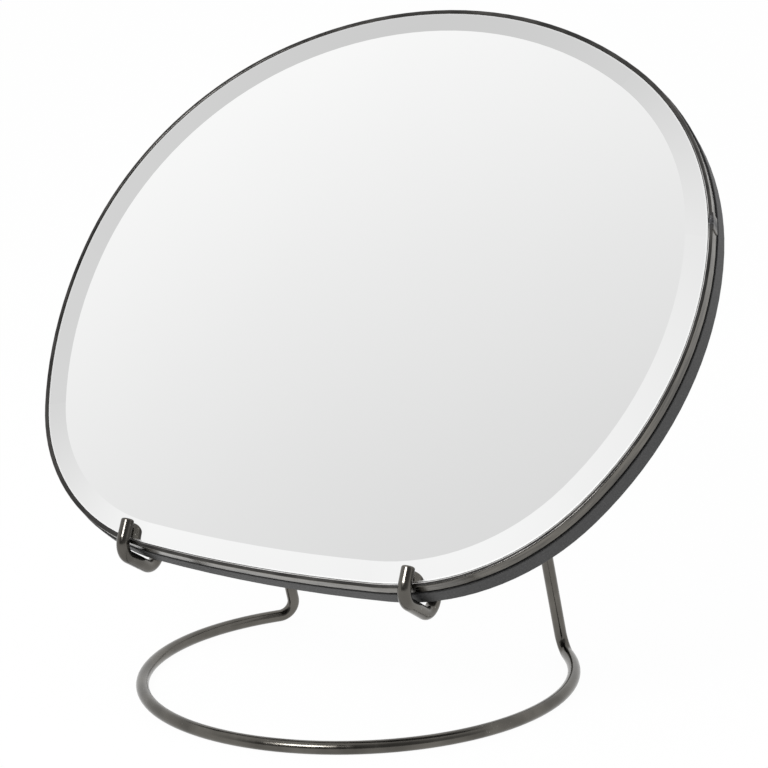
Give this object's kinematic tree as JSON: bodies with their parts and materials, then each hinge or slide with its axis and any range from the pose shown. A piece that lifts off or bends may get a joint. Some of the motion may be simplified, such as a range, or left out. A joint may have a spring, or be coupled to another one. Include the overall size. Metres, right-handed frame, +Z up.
{
  "type": "table mirror",
  "caption": "Free-standing table mirror: a bevelled glass of irregular rounded outline in a thin metal rim on a board, resting in a bent rod stand with a ring base.",
  "frame": {"origin": "centre of the base ring, on the table that the ring rests on", "axes": "+Z up, -Y the way the mirror faces, +X to the right as seen from the front"},
  "size_m": [0.2726, 0.1721, 0.2587],
  "materials": {
    "dark_chrome_rod": "polished",
    "dark_chrome_rim": "polished",
    "silvered_glass": "polished",
    "charcoal_board": "matte paint",
    "foam_tape": "matte"
  },
  "bodies": {
    "stand": {"stand_rod": "dark_chrome_rod"},
    "mirror": {"mirror_glass": "silvered_glass", "rim_band": "dark_chrome_rim", "back_board": "charcoal_board", "bonding_tape": "foam_tape"}
  },
  "joints": [
    {"name": "mirror_lift", "type": "slide", "parent": "stand", "child": "mirror", "axis": [0, 0.5878, 0.809], "range_m": [0, 0.14]}
  ]
}
